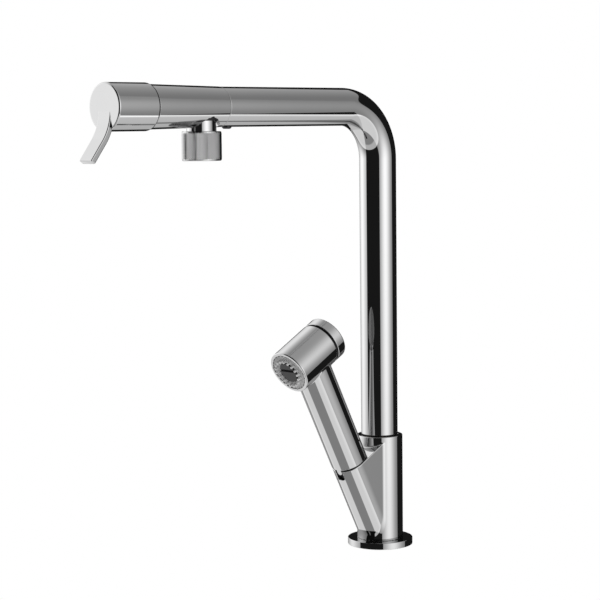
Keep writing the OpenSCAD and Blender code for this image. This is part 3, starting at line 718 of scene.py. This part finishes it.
# ------------------------------------------------------------------ tails below the deck
for node, (x, y) in (("cold_nipple", (7, -1.9)), ("hot_nipple", (-7, -1.9)), ("spray_nipple", (0, 7.3))):
    v, f = threaded(4.0, 0.5, 1.0, -78, -66.0, 2.25, n=40, lead=0.8, extra=[(4.0, -65.99)])
    # the hexagon above the thread
    hexa = []
    ob = piece(node.replace("nipple", "tail"), v, f, None, (np.eye(3), np.array([x, y, 0.0])), node, BRASS)
    ob.data.set_sharp_from_angle(angle=math.radians(38))
    k = 72
    th = np.arange(k) * 2 * math.pi / k
    flat_r = 5.5 * math.cos(math.pi / 6) / np.cos((th + math.pi / 6) % (math.pi / 3) - math.pi / 6)
    rows = [(3.02, -65.98), (5.0, -65.98), (9.0, -65.55), (9.0, -63.4), (5.0, -63.0), (3.02, -63.0)]
    P = np.zeros((k, len(rows), 2))
    for j, (r_, z_) in enumerate(rows):
        P[:, j, 0] = np.minimum(flat_r, r_) if r_ > 3.1 else r_
        P[:, j, 1] = z_
    v, f = lattice(P)
    me = bpy.data.meshes.new(node.replace("nipple", "hexagon"))
    me.from_pydata(((v + np.array([x, y, 0])) * 0.001).tolist(), [], f)
    me.materials.append(BRASS)
    me.polygons.foreach_set("use_smooth", [True] * len(me.polygons))
    me.set_sharp_from_angle(angle=math.radians(25))
    ob = bpy.data.objects.new(me.name, me)
    bpy.context.scene.collection.objects.link(ob)
    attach(ob, BODY[node])

# ------------------------------------------------------------------ floor, light and background
floor_me = bpy.data.meshes.new("floor")
floor_me.from_pydata([(-4, -4, 0), (4, -4, 0), (4, 4, 0), (-4, 4, 0)], [], [(0, 1, 2, 3)])
floor_mat = bpy.data.materials.new("floor_white")
floor_mat.use_nodes = True
ft = Tree(floor_mat.node_tree)
fo = ft.n("ShaderNodeOutputMaterial")
fe = ft.n("ShaderNodeEmission", {0: (1, 1, 1, 1), 1: 1.0})
floor_mat.node_tree.links.new(fe.outputs[0], fo.inputs[0])
floor_me.materials.append(floor_mat)
floor = bpy.data.objects.new("floor", floor_me)
bpy.context.scene.collection.objects.link(floor)
floor.visible_glossy = False

world = bpy.data.worlds.new("studio")
bpy.context.scene.world = world
world.use_nodes = True
t = Tree(world.node_tree)
co = t.n("ShaderNodeTexCoord").outputs["Generated"]
sep = t.n("ShaderNodeSeparateXYZ", {0: co})
X, Y, Z = sep.outputs
# azimuth in degrees from the direction of the camera, positive to the picture's right
ca, sa = math.cos(a), math.sin(a)
along_cam = t.math("ADD", t.math("MULTIPLY", X, sa), t.math("MULTIPLY", Y, -ca))
along_right = t.math("ADD", t.math("MULTIPLY", X, ca), t.math("MULTIPLY", Y, sa))
AZ = t.math("MULTIPLY", t.math("ARCTAN2", along_right, along_cam), 180 / math.pi)
EL = t.math("MULTIPLY", t.math("ARCSINE", Z), 180 / math.pi)


def mixed(fac, a_, b_):
    """a_ where fac is 0, b_ where it is 1."""
    return t.n("ShaderNodeMix", {0: fac, 2: a_, 3: b_}, data_type="FLOAT").outputs[0]


def away(az):
    """Azimuth measured from az, -180 to 180."""
    return t.n("ShaderNodeMath", {0: t.math("SUBTRACT", AZ, az), 1: 180.0, 2: -180.0}, operation="WRAP").outputs[0]


def bell(x, width):
    q = t.math("DIVIDE", x, width)
    return t.math("EXPONENT", t.math("MULTIPLY", t.math("MULTIPLY", q, q), -1.0))


def glow(az, el, width, height, gain):
    """A soft round spot, falling off like a bell."""
    return t.math("MULTIPLY", t.math("MULTIPLY", bell(away(az), width), bell(t.math("SUBTRACT", EL, el), height)), gain)


def window(az, half, soft):
    """1 within half of the azimuth az."""
    return t.math("SUBTRACT", 1.0, t.step(t.math("ABSOLUTE", away(az)), half - soft / 2, half + soft / 2))


def total(*parts):
    out = parts[0]
    for p in parts[1:]:
        out = t.math("ADD", out, p)
    return out


SECOND = 0.45


def light_map():
    """Brightness of the studio by direction: two softboxes, a black card before and behind, pale floor, grey above."""
    high = t.step(EL, 24, 50)
    right_side = total(glow(47, 3, 30, 28, 0.82), glow(76, 30, 12, 22, 0.22), mixed(high, 0.18, 0.27))
    falls = mixed(t.step(EL, 2, 4), bell(t.math("SUBTRACT", EL, 3), 29), bell(t.math("SUBTRACT", EL, 3), 52))
    left_side = total(t.math("MULTIPLY", total(glow(-117, 3, 30, 400, 0.60), 0.42), falls),
                      glow(-160, 40, 22, 26, 0.35), t.math("MULTIPLY", high, 0.12))
    above = total(glow(105, 30, 38, 30, -0.11), glow(-172, 42, 26, 22, 0.10), 0.28)
    val = mixed(window(54.5, 44.0, 2.5), above, right_side)
    val = mixed(window(-119.5, 44.5, 4.0), val, left_side)
    # the black card behind has round upper corners
    wide = t.math("DIVIDE", t.math("ABSOLUTE", away(146)), 47.5)
    tall = t.math("DIVIDE", t.math("MAXIMUM", EL, 0.0), 36.0)
    round_ = total(t.math("POWER", wide, 2.8), t.math("POWER", tall, 2.8))
    card_behind = t.math("SUBTRACT", 1.0, t.step(round_, 0.97, 1.03))
    card_front = t.math("MULTIPLY", window(-32.8, 43.4, 2.0), t.math("SUBTRACT", 1.0, t.step(EL, 62, 66)))
    cards = t.math("MAXIMUM", card_behind, card_front)
    val = mixed(cards, val, 0.0085)
    val = t.math("MULTIPLY", val, t.math("SUBTRACT", 1.0, t.math("MULTIPLY", bell(t.math("SUBTRACT", EL, 90), 2.4), 0.45)))
    # floor, brighter where it meets the softboxes
    sides = t.math("MAXIMUM", window(54.5, 44.5, 3.0), window(-117.5, 43.5, 6.0))
    front = mixed(t.step(EL, -45, -40), 0.20, 0.41)
    plain = mixed(window(-32.0, 60.0, 20.0), mixed(t.step(AZ, 100, 178), 0.475, 0.40), front)
    far = t.step(EL, -40, -31)
    ground = total(mixed(sides, plain, 0.60), t.math("MULTIPLY", far, t.math("MULTIPLY", sides, 0.10)),
                   t.math("MULTIPLY", bell(t.math("SUBTRACT", EL, -33.5), 3.0),
                          t.math("MULTIPLY", window(108, 14, 10), 0.30)))
    edge = total(t.math("MULTIPLY", t.math("COSINE", t.math("MULTIPLY", away(-35), math.pi / 180)), 2.0),
                 t.math("MULTIPLY", bell(away(176), 22), -1.5), -29.8)
    val = mixed(t.step(t.math("SUBTRACT", EL, edge), -0.6, 0.6), ground, val)
    return t.math("DIVIDE", val, 0.86)


val = light_map()
path = t.n("ShaderNodeLightPath")
# mirror images of mirror images are dark, as in the photograph
again = t.step(path.outputs["Ray Depth"], 2.4, 2.6)
val = t.math("MULTIPLY", val, mixed(again, 1.0, SECOND))
light = t.n("ShaderNodeBackground", {0: (1, 1, 1, 1), 1: val})
white = t.n("ShaderNodeBackground", {0: (1, 1, 1, 1), 1: 1.0})
mix = t.n("ShaderNodeMixShader", {0: path.outputs["Is Camera Ray"], 1: light.outputs[0], 2: white.outputs[0]})
out = t.n("ShaderNodeOutputWorld", {0: mix.outputs[0]})

sc = bpy.context.scene
sc.view_settings.view_transform = "Standard"
sc.view_settings.look = "None"
